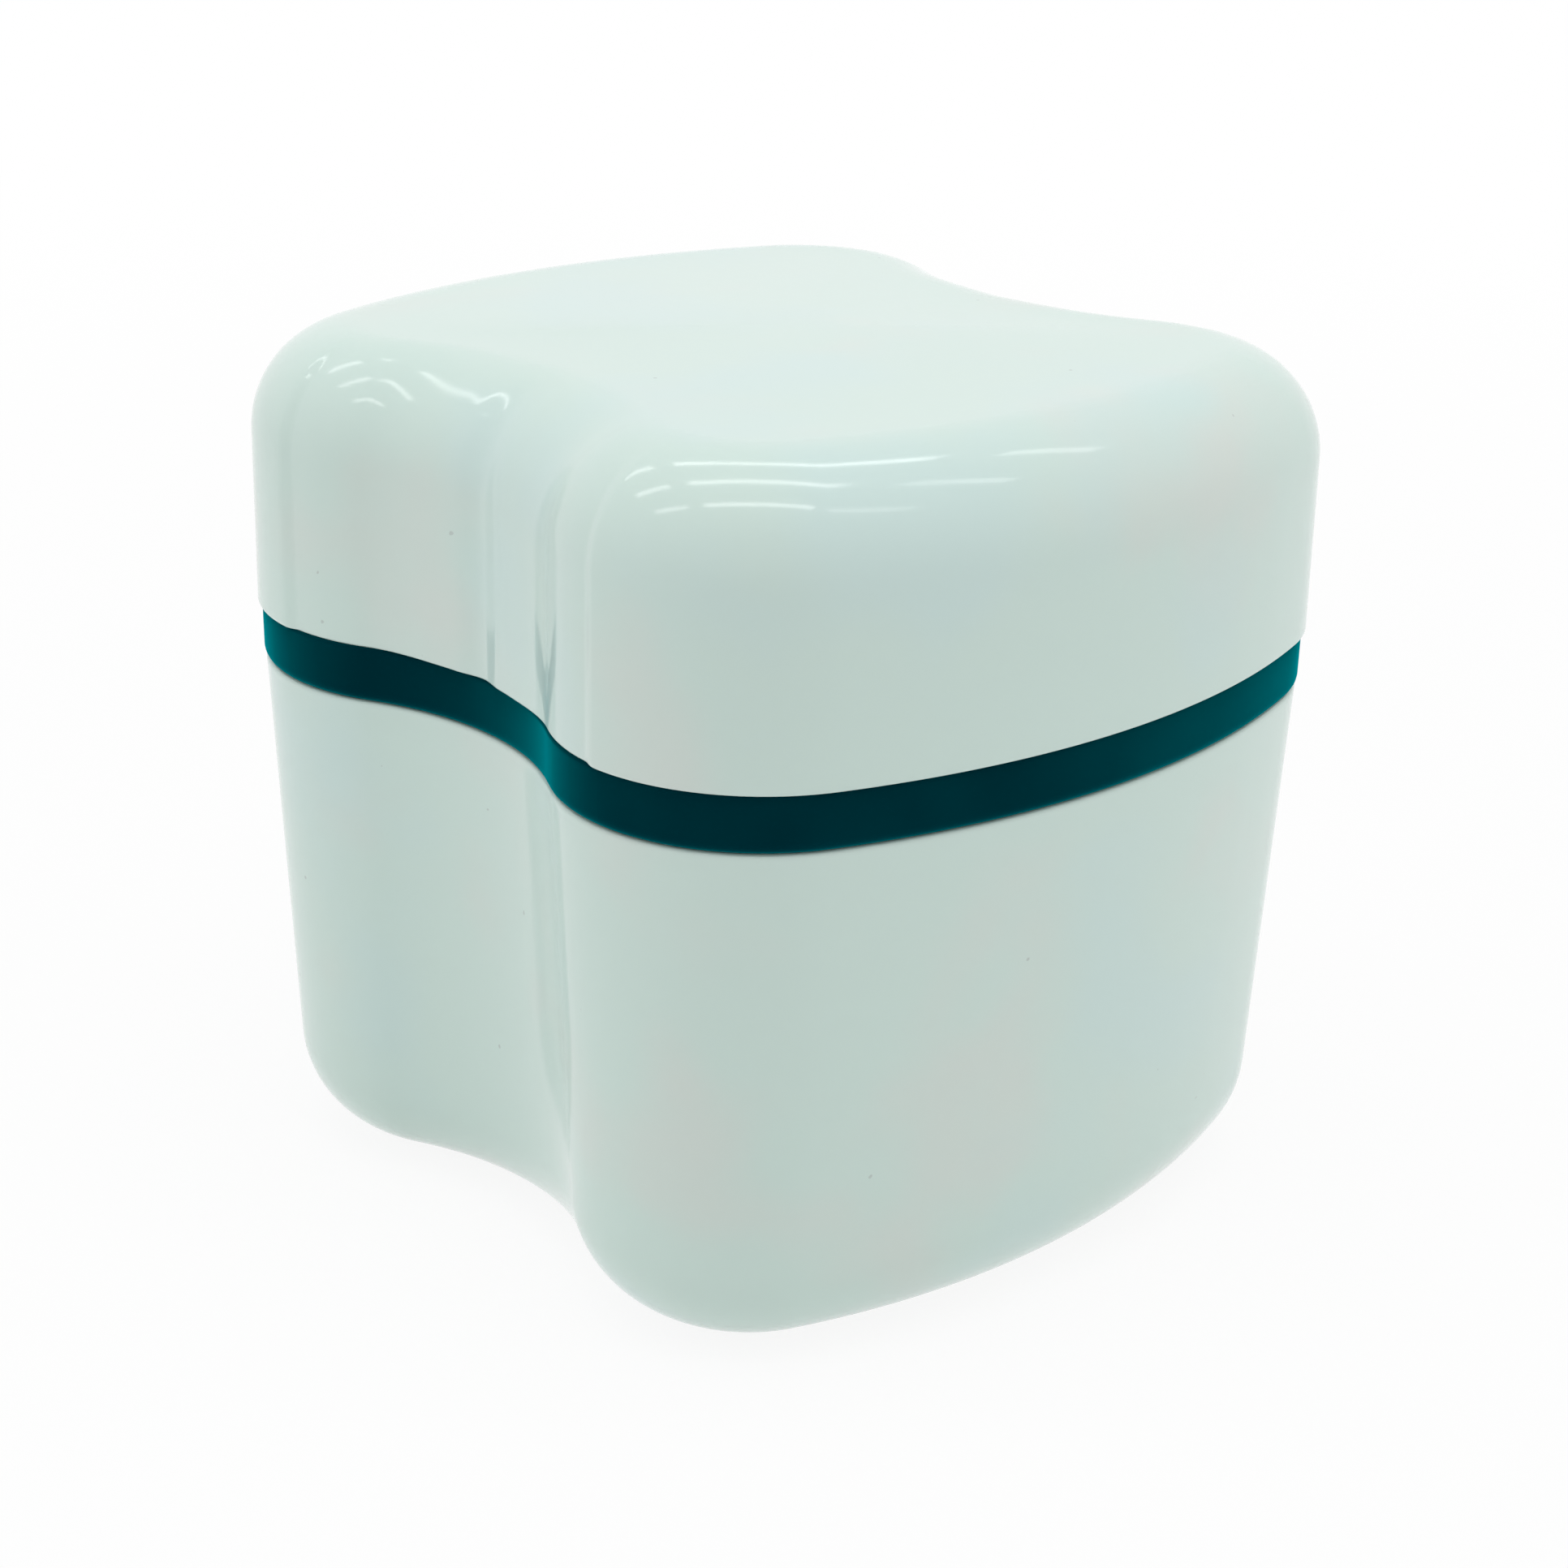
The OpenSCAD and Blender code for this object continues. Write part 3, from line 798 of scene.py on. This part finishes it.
def fill_floor(bm, outline, sizes, low, high, margin):
    """Close the basket's floor with a plate that has drain slots front and back of a plain strip."""
    radius = sizes.slot_width / 2
    edge_inset = margin + sizes.floor_margin
    columns = int((outline.half_waist - edge_inset) / sizes.slot_pitch)
    near = sizes.slot_pitch / 2
    loops = {}
    for z in (low, high):
        rings = []
        for column in range(-columns, columns + 1):
            x = column * sizes.slot_pitch
            far = math.sqrt((outline.face_radius - edge_inset) ** 2 - x ** 2) - outline.face_centre
            for side in (-1, 1):
                rings.append(add_slot_loop(bm, x, side * near, side * far, radius, z))
        borders = open_ring(bm, z) + [edge for ring in rings for edge in ring]
        bmesh.ops.triangle_fill(bm, edges=borders, use_beauty=True)
        loops[z] = rings
    rims = []
    for under, over in zip(loops[low], loops[high]):
        bmesh.ops.bridge_loops(bm, edges=under + over)
        rims += under + over
    bevel(bm, rims, sizes.edge_radius, CRISP_STEPS)


def build_basket(settings):
    """The teal strainer basket: collar, visible band, skirt and a net of drain slots in wall and floor."""
    sizes, tub, fineness = settings.basket, settings.tub, settings.fineness
    outline = Outline(settings.outline)
    rim, band_top = tub.height, LID_LOW.z
    low, top = BASKET_LOW.z, BASKET_HIGH.z
    collar = settings.lid.wall + sizes.slip
    skirt, net, bowl = net_insets(settings)
    skirt_z = rim - sizes.skirt_depth
    radius = sizes.slot_width / 2
    rows = (low + sizes.slot_foot + radius, rim - sizes.slot_drop - radius)
    # The net's lower edge is smaller than the tub's, so it takes half the steps
    small, edge = fineness.small, fineness.edge // 2
    plate = bowl + sizes.base_radius
    crisp = sizes.edge_radius
    bm = bmesh.new()
    draw_profile(bm, outline, [
        (plate, low, 0, 0),
        (net, low, sizes.base_radius, edge),
        (net, rows[0], 0, 0),
        (net, rows[1], 0, 0),
        (net, skirt_z - sizes.net_step, crisp, CRISP_STEPS),
        (skirt, skirt_z, crisp, CRISP_STEPS),
        (skirt, rim, crisp, CRISP_STEPS),
        (sizes.band_inset, rim, sizes.band_radius, small),
        (sizes.band_inset, band_top, crisp, small),
        (collar, band_top, crisp, CRISP_STEPS),
        (collar, top, sizes.collar_radius, small),
        (collar + sizes.collar_wall, top, crisp, small),
        (collar + sizes.collar_wall, band_top, crisp, CRISP_STEPS),
        (bowl, rim, crisp, CRISP_STEPS),
        (bowl, rows[1], 0, 0),
        (bowl, rows[0], 0, 0),
        (bowl, low + sizes.floor, sizes.base_radius - sizes.net_wall, edge),
        (plate, low + sizes.floor, 0, 0),
    ], crisp)
    lean_wall([vert for vert in bm.verts if vert.co.z < rim], tub.lean, rim)
    sweep_net(bm, outline, sizes, fineness, rows, (net + bowl) / 2)
    mirror_quarter(bm)
    margin = plate + math.tan(tub.lean) * (rim - low)
    fill_floor(bm, outline, sizes, low, low + sizes.floor, margin)
    return bm


def mark_band(bm, low, high):
    """Give the outer faces of the visible band, between two heights, the piece's second material."""
    bmesh.ops.recalc_face_normals(bm, faces=bm.faces[:])
    for face in bm.faces:
        middle = face.calc_center_median()
        if low < middle.z < high and face.normal.xy.dot(middle.xy) > 0:
            face.material_index = 1


# ---- bail


def build_bail(settings):
    """The bail's bar: a flat U with two round bends, deeper at the grip."""
    sizes = settings.bail
    outer = bail_boss_face(settings) - sizes.side_play - sizes.eye_step
    inner = outer - sizes.arm
    reach = -BAIL_LOW.y
    bend_x = outer - sizes.bend_radius
    outer_centre = Vector((bend_x, sizes.bend_radius - reach, 0))
    inner_centre = Vector((bend_x, sizes.bend_radius - sizes.arm + sizes.grip - reach, 0))
    bm = bmesh.new()
    across = [bm.verts.new((outer, 0, 0)), bm.verts.new((inner, 0, 0))]
    edge = bm.edges.new(across)

    def carry_on(outer_place, inner_place):
        nonlocal edge, across
        made = new_edges(bmesh.ops.extrude_edge_only(bm, edges=[edge])["geom"])
        edge = next(part for part in made if not set(across).intersection(part.verts))
        outer_vert, inner_vert = sorted(edge.verts, key=lambda v: (v.co - across[0].co).length)
        outer_vert.co, inner_vert.co = outer_place, inner_place
        across = [outer_vert, inner_vert]

    count = settings.fineness.edge
    for step in range(count + 1):
        turn = Matrix.Rotation(-math.pi / 2 * step / count, 3, "Z")
        carry_on(outer_centre + turn @ Vector((sizes.bend_radius, 0, 0)),
                 inner_centre + turn @ Vector((sizes.bend_radius - sizes.arm, 0, 0)))
    carry_on(Vector((0, across[0].co.y, 0)), Vector((0, across[1].co.y, 0)))
    bmesh.ops.mirror(bm, geom=bm.verts[:] + bm.edges[:] + bm.faces[:], matrix=Matrix.Identity(4),
                     merge_dist=TOUCH, axis="X")
    raised = bmesh.ops.extrude_face_region(bm, geom=bm.faces[:])["geom"]
    bmesh.ops.translate(bm, verts=new_verts(raised), vec=(0, 0, sizes.height))
    bmesh.ops.translate(bm, verts=bm.verts[:], vec=(0, 0, PIVOT_Z - sizes.height / 2))
    round_edges(bm, sizes.edge_radius, settings.fineness.small)
    return bm


def bail_boss_face(settings):
    """Distance of a boss's face from the middle."""
    _, _, bowl = net_insets(settings)
    return settings.outline.waist / 2 - bowl - settings.bail.boss_height


def round_bar(radius, start, end, rounding, count):
    """A round bar with rounded ends, along the bail's pins."""
    bm = bmesh.new()
    bmesh.ops.create_cone(bm, cap_ends=True, segments=BAR_SIDES, radius1=radius, radius2=radius,
                          depth=end - start)
    bmesh.ops.rotate(bm, verts=bm.verts[:], matrix=Matrix.Rotation(math.pi / 2, 3, "Y"))
    bmesh.ops.translate(bm, verts=bm.verts[:], vec=((start + end) / 2, 0, PIVOT_Z))
    round_edges(bm, rounding, count)
    return bm


def round_edges(bm, radius, count):
    """Round every sharp edge of a mesh."""
    bmesh.ops.recalc_face_normals(bm, faces=bm.faces[:])
    bevel(bm, [edge for edge in bm.edges if edge.calc_face_angle() > SHARP_TURN], radius, count)


def both_sides(make):
    """The shape that a function makes, for the right side, and its mirror image for the left side."""
    right, left = make(), make()
    bmesh.ops.scale(left, verts=left.verts[:], vec=(-1, 1, 1))
    return [right, left]


def combine(base, tools, operation):
    """Join other shapes to a mesh or cut them from it, and return the new mesh. What goes in is used up."""
    things = []
    for bm in [base, *tools]:
        bmesh.ops.recalc_face_normals(bm, faces=bm.faces[:])
        mesh = bpy.data.meshes.new("shape")
        bm.to_mesh(mesh)
        bm.free()
        things.append(add_object("shape", mesh))
    for tool in things[1:]:
        modifier = things[0].modifiers.new("combine", "BOOLEAN")
        modifier.operation = operation
        modifier.solver = "MANIFOLD"
        modifier.object = tool
    result = bmesh.new()
    result.from_object(things[0], bpy.context.evaluated_depsgraph_get())
    for thing in things:
        bpy.data.meshes.remove(thing.data)
    return result


def make_lug(settings, outline, end):
    """The lug that carries the folded bail's right arm, at the front (end -1) or the back (end 1)."""
    basket, bail = settings.basket, settings.bail
    tip = bail_boss_face(settings) - bail.side_play - bail.eye_step - bail.arm
    _, net, _ = net_insets(settings)
    root = outline.side_x(basket.lug_distance, net + basket.net_wall / 2)
    top = PIVOT_Z - bail.height / 2 - basket.lug_gap
    y = end * basket.lug_distance - basket.lug_thickness / 2
    bm = bmesh.new()
    places = ((tip, y, top), (root, y, top), (root, y, top - basket.lug_height))
    face = bm.faces.new([bm.verts.new(place) for place in places])
    grown = bmesh.ops.extrude_face_region(bm, geom=[face])["geom"]
    bmesh.ops.translate(bm, verts=new_verts(grown), vec=(0, basket.lug_thickness, 0))
    round_edges(bm, bail.small_radius, settings.fineness.small)
    return bm


def add_bail_seats(bm, settings):
    """Add the bosses with their bores and the lugs to the basket."""
    bail, fineness = settings.bail, settings.fineness
    outline = Outline(settings.outline)
    face = bail_boss_face(settings)
    boss_end = face + bail.boss_height + settings.basket.net_wall
    bore_radius = bail.pin_radius + bail.pin_clearance
    bore_start, bore_end = face - bail.boss_height, face + bail.pin_reach + bail.bore_gap
    rounding = (bail.small_radius, fineness.small)
    seats = both_sides(lambda: round_bar(bail.boss_radius, face, boss_end, *rounding))
    for end in (-1, 1):
        seats += both_sides(lambda: make_lug(settings, outline, end))
    bores = both_sides(lambda: round_bar(bore_radius, bore_start, bore_end, bail.bore_gap / 2, 1))
    return combine(combine(bm, seats, "UNION"), bores, "DIFFERENCE")


def add_eyes_and_pins(bm, settings):
    """Add an eye and a pin to each end of the bail."""
    bail, fineness = settings.bail, settings.fineness
    outer = bail_boss_face(settings) - bail.side_play
    inner = outer - bail.arm - 2 * bail.eye_step
    eye_radius = (BAIL_HIGH.z - BAIL_LOW.z) / 2
    pin_start, pin_end = inner + bail.eye_step, outer + bail.side_play + bail.pin_reach
    rounding = (bail.small_radius, fineness.small)
    eyes = both_sides(lambda: round_bar(eye_radius, inner, outer, *rounding))
    pins = both_sides(lambda: round_bar(bail.pin_radius, pin_start, pin_end, *rounding))
    return combine(bm, eyes + pins, "UNION")


# ---- studio


def look_axes(azimuth, elevation):
    """Directions to the right of a view of the case, up in it, and back from the case to the eye."""
    back = Vector((math.sin(azimuth) * math.cos(elevation), -math.cos(azimuth) * math.cos(elevation),
                   math.sin(elevation)))
    right = Vector((math.cos(azimuth), math.sin(azimuth), 0))
    return right, back.cross(right), back


def place_by_axes(thing, place, axes):
    """Place an object, with its X, Y and Z along three directions."""
    thing.location = place
    thing.rotation_euler = Matrix(axes).transposed().to_euler()


def add_camera(sizes):
    """The camera, at the photograph's viewing angle."""
    right, up, back = look_axes(sizes.azimuth, sizes.elevation)
    roll = Matrix.Rotation(sizes.roll, 3, back)
    data = bpy.data.cameras.new("camera")
    data.lens = sizes.lens
    camera = add_object("camera", data)
    place = Vector((0, 0, sizes.aim_height)) + right * sizes.aim_shift + back * sizes.distance
    place_by_axes(camera, place, (roll @ right, roll @ up, back))
    bpy.context.scene.camera = camera


def add_lamp(name, place, axes, width, height, glow):
    """An area lamp that shines against its third axis, with a brightness where 1 is white."""
    data = bpy.data.lights.new(name, "AREA")
    data.shape = "RECTANGLE"
    data.size, data.size_y = width, height
    data.energy = glow * math.pi * width * height
    lamp = add_object(name, data)
    place_by_axes(lamp, place, axes)
    return lamp


def add_soft_lamp(name, azimuth, elevation, distance, size, level):
    """A square lamp that looks at the case and doesn't show in its gloss.

    Level is how much it lights a face that looks at it. At 1 in all, such a face shows its colour as it is
    written.
    """
    axes = look_axes(azimuth * DEGREE, elevation * DEGREE)
    glow = level * math.pi * distance ** 2 / size ** 2
    lamp = add_lamp(name, Vector((0, 0, TUB_HIGH.z)) + axes[2] * distance, axes, size, size, glow)
    lamp.visible_glossy = False


def add_tube_lamps(sizes):
    """Three rows of tube lamps over the case, which run across the view and show in the lid's gloss."""
    right, forward, up = look_axes(sizes.azimuth, math.pi / 2)
    middle = Vector((0, 0, LID_HIGH.z + sizes.ceiling)) + forward * sizes.row_shift
    for row in (-1, 0, 1):
        for tube in TUBES:
            place = middle + forward * row * sizes.row_pitch + right * tube["place"]
            add_lamp("tube", place, (right, forward, up), tube["length"], sizes.tube_width, tube["glow"])


def seen_ray(tree):
    """1 for the rays that show a background: those from the camera, from gloss or through clear stuff."""
    path = add_node(tree, "ShaderNodeLightPath", {})
    total = path.outputs["Is Camera Ray"]
    for name in ("Is Glossy Ray", "Is Transmission Ray"):
        sources = {0: total, 1: path.outputs[name]}
        total = add_node(tree, "ShaderNodeMath", sources, operation="MAXIMUM").outputs[0]
    return total


def mix_shaders(tree, share, first, second):
    """Mix two shader nodes by a share from 0 to 1."""
    sources = {0: share, 1: first.outputs[0], 2: second.outputs[0]}
    return add_node(tree, "ShaderNodeMixShader", sources).outputs[0]


def add_world(scene, level):
    """A world that is white to look at and lights the case softly."""
    world = bpy.data.worlds.new("studio")
    world.use_nodes = True
    tree = world.node_tree
    light = tree.nodes["Background"]
    feed(tree, light.inputs, {"Color": WHITE, "Strength": level})
    white = add_node(tree, "ShaderNodeBackground", {"Color": WHITE})
    background = mix_shaders(tree, seen_ray(tree), light, white)
    feed(tree, tree.nodes["World Output"].inputs, {"Surface": background})
    scene.world = world


def floor_material():
    """A white floor that keeps a faint part of the case's shadow."""
    material, tree, shader = new_material("studio_floor")
    tree.nodes.remove(shader)
    matt = add_node(tree, "ShaderNodeBsdfDiffuse", {"Color": (FLOOR_WHITE, FLOOR_WHITE, FLOOR_WHITE, 1)})
    glow = add_node(tree, "ShaderNodeEmission", {"Color": WHITE})
    place = add_node(tree, "ShaderNodeTexCoord", {}).outputs["Object"]
    reach = add_node(tree, "ShaderNodeVectorMath", {0: place}, operation="LENGTH").outputs["Value"]
    fade = add_range(tree, reach, 0, SHADOW_REACH, 1 - SHADOW_SHARE, 1)
    share = add_node(tree, "ShaderNodeMath", {0: seen_ray(tree), 1: fade}, operation="MULTIPLY")
    surface = mix_shaders(tree, share.outputs[0], matt, glow)
    feed(tree, tree.nodes["Material Output"].inputs, {"Surface": surface})
    return material


def add_floor(radius):
    """The plain floor that the case stands on."""
    bm = bmesh.new()
    bmesh.ops.create_circle(bm, cap_ends=True, segments=BAR_SIDES, radius=radius)
    mesh = bpy.data.meshes.new("floor")
    bm.to_mesh(mesh)
    bm.free()
    mesh.materials.append(floor_material())
    add_object("floor", mesh)


# ---- operators


class CASE_OT_tub(bpy.types.Operator):
    """Build the white tub"""

    bl_idname = "denture_case.tub"
    bl_label = "Build Tub"
    bl_options = {"REGISTER", "UNDO"}

    def execute(self, context):
        settings = context.scene.denture_case
        white = get_white(settings.finishes)
        finish_piece(build_tub(settings), "tub_shell", "tub", [white], "tub")
        return {"FINISHED"}


class CASE_OT_basket(bpy.types.Operator):
    """Build the teal strainer basket with its visible band"""

    bl_idname = "denture_case.basket"
    bl_label = "Build Strainer Basket"
    bl_options = {"REGISTER", "UNDO"}

    def execute(self, context):
        settings = context.scene.denture_case
        finishes = settings.finishes
        bm = add_bail_seats(build_basket(settings), settings)
        mark_band(bm, TUB_HIGH.z, LID_LOW.z)
        teals = [get_teal(finishes), teal_plastic("matt_teal", finishes, 0.0, finishes.band_matt)]
        finish_piece(bm, "basket_net", "basket", teals, "strainer_basket")
        return {"FINISHED"}


class CASE_OT_bail(bpy.types.Operator):
    """Build the teal bail that lifts the basket"""

    bl_idname = "denture_case.bail"
    bl_label = "Build Bail"
    bl_options = {"REGISTER", "UNDO"}

    def execute(self, context):
        settings = context.scene.denture_case
        bm = add_eyes_and_pins(build_bail(settings), settings)
        teal = get_teal(settings.finishes)
        finish_piece(bm, "basket_bail", "handle", [teal], "basket_handle")
        return {"FINISHED"}


class CASE_OT_lid(bpy.types.Operator):
    """Build the white lid"""

    bl_idname = "denture_case.lid"
    bl_label = "Build Lid"
    bl_options = {"REGISTER", "UNDO"}

    def execute(self, context):
        settings = context.scene.denture_case
        white = get_white(settings.finishes)
        finish_piece(build_lid(settings), "lid_shell", "lid", [white], "lid")
        return {"FINISHED"}


class CASE_OT_studio(bpy.types.Operator):
    """Set up the floor, the lamps and the camera"""

    bl_idname = "denture_case.studio"
    bl_label = "Set Up Studio"
    bl_options = {"REGISTER", "UNDO"}

    def execute(self, context):
        sizes = context.scene.denture_case.studio
        add_floor(sizes.floor_radius)
        add_world(context.scene, sizes.sky)
        for lamp in SOFT_LAMPS:
            add_soft_lamp(**lamp)
        add_tube_lamps(sizes)
        add_camera(sizes)
        context.scene.view_settings.view_transform = "Standard"
        return {"FINISHED"}


class CASE_PT_sidebar(bpy.types.Panel):
    """Sizes and steps of the denture case"""

    bl_idname = "CASE_PT_sidebar"
    bl_label = "Denture Case"
    bl_space_type = "VIEW_3D"
    bl_region_type = "UI"
    bl_category = "Denture Case"

    def draw(self, context):
        settings = context.scene.denture_case
        for group in SETTING_GROUPS:
            box = self.layout.box()
            box.label(text=group.title())
            values = getattr(settings, group)
            for name in values.bl_rna.properties.keys():
                if name not in ("rna_type", "name"):
                    box.prop(values, name)
        for operator in OPERATORS:
            self.layout.operator(operator.bl_idname)


SETTING_GROUPS = ("outline", "tub", "lid", "basket", "bail", "fineness", "finishes", "studio")
OPERATORS = (CASE_OT_tub, CASE_OT_basket, CASE_OT_bail, CASE_OT_lid, CASE_OT_studio)
CLASSES = (
    OutlineSizes, TubSizes, LidSizes, BasketSizes, BailSizes, Fineness, Finishes, StudioSizes, CaseSettings,
    *OPERATORS, CASE_PT_sidebar,
)


def register():
    """Add the classes and the scene's settings."""
    for cls in CLASSES:
        bpy.utils.register_class(cls)
    bpy.types.Scene.denture_case = PointerProperty(type=CaseSettings)


def unregister():
    """Take the classes and the scene's settings away again."""
    del bpy.types.Scene.denture_case
    for cls in reversed(CLASSES):
        bpy.utils.unregister_class(cls)


def main():
    """Build the case and its studio."""
    register()
    for operator in OPERATORS:
        section, name = operator.bl_idname.split(".")
        getattr(getattr(bpy.ops, section), name)()


if __name__ == "__main__":
    main()
